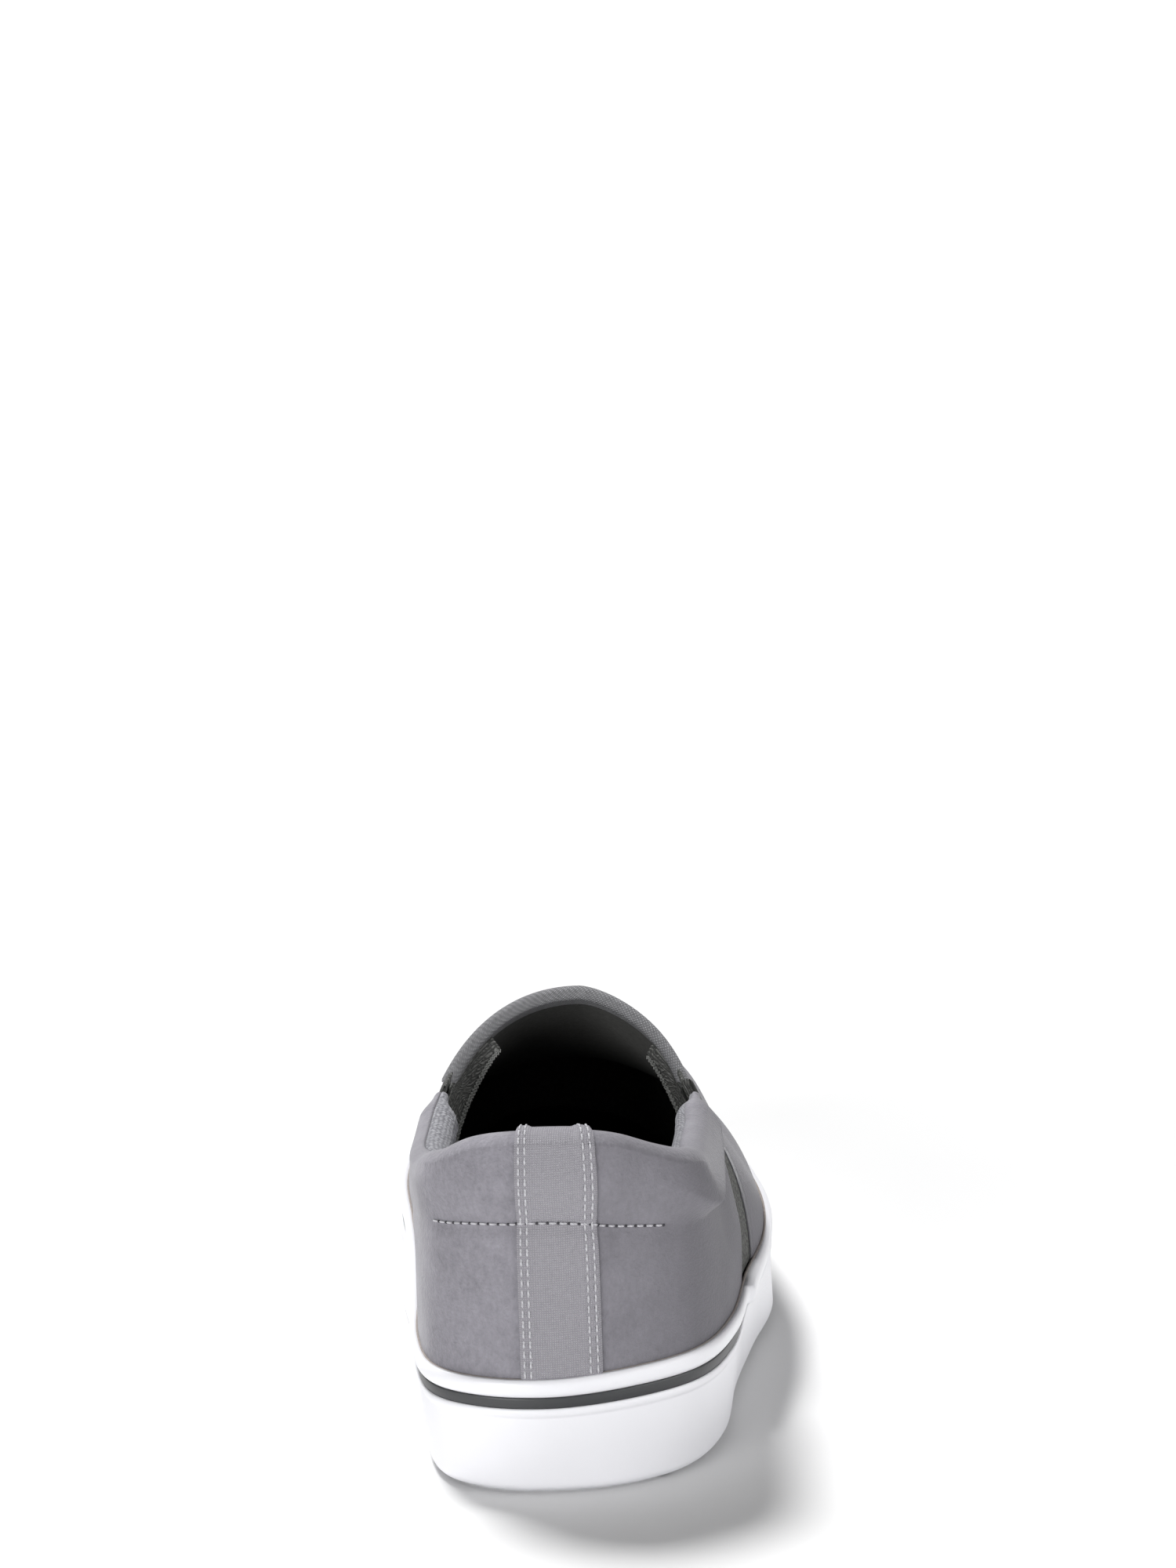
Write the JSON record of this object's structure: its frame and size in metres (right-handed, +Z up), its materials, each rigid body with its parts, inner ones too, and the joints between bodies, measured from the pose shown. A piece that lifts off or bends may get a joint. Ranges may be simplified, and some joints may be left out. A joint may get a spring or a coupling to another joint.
{
  "type": "slip-on sneaker",
  "caption": "Low slip-on sneaker, right foot: padded collar, elastic side gores, heel strip and a tall rubber foxing with a dark stripe.",
  "frame": {"origin": "on the heel's flat tread, 32 mm in front of the back of the heel", "axes": "+Y from heel to toe, +X to the outer (lateral) side, +Z up from the floor"},
  "size_m": [0.0991, 0.2931, 0.097],
  "materials": {
    "white_rubber": "satin moulded",
    "stripe_rubber": "matt",
    "brushed_fabric": "brushed",
    "canvas": "woven",
    "elastic": "ribbed",
    "lining": "textile"
  },
  "bodies": {
    "root": {"outsole": "white_rubber", "foxing": "white_rubber", "foxing_stripe": "stripe_rubber", "foxing_strip": "white_rubber", "insole": "lining", "upper": "brushed_fabric", "gore_lateral": "elastic", "gore_medial": "elastic", "heel_strip": "canvas"}
  },
  "joints": []
}
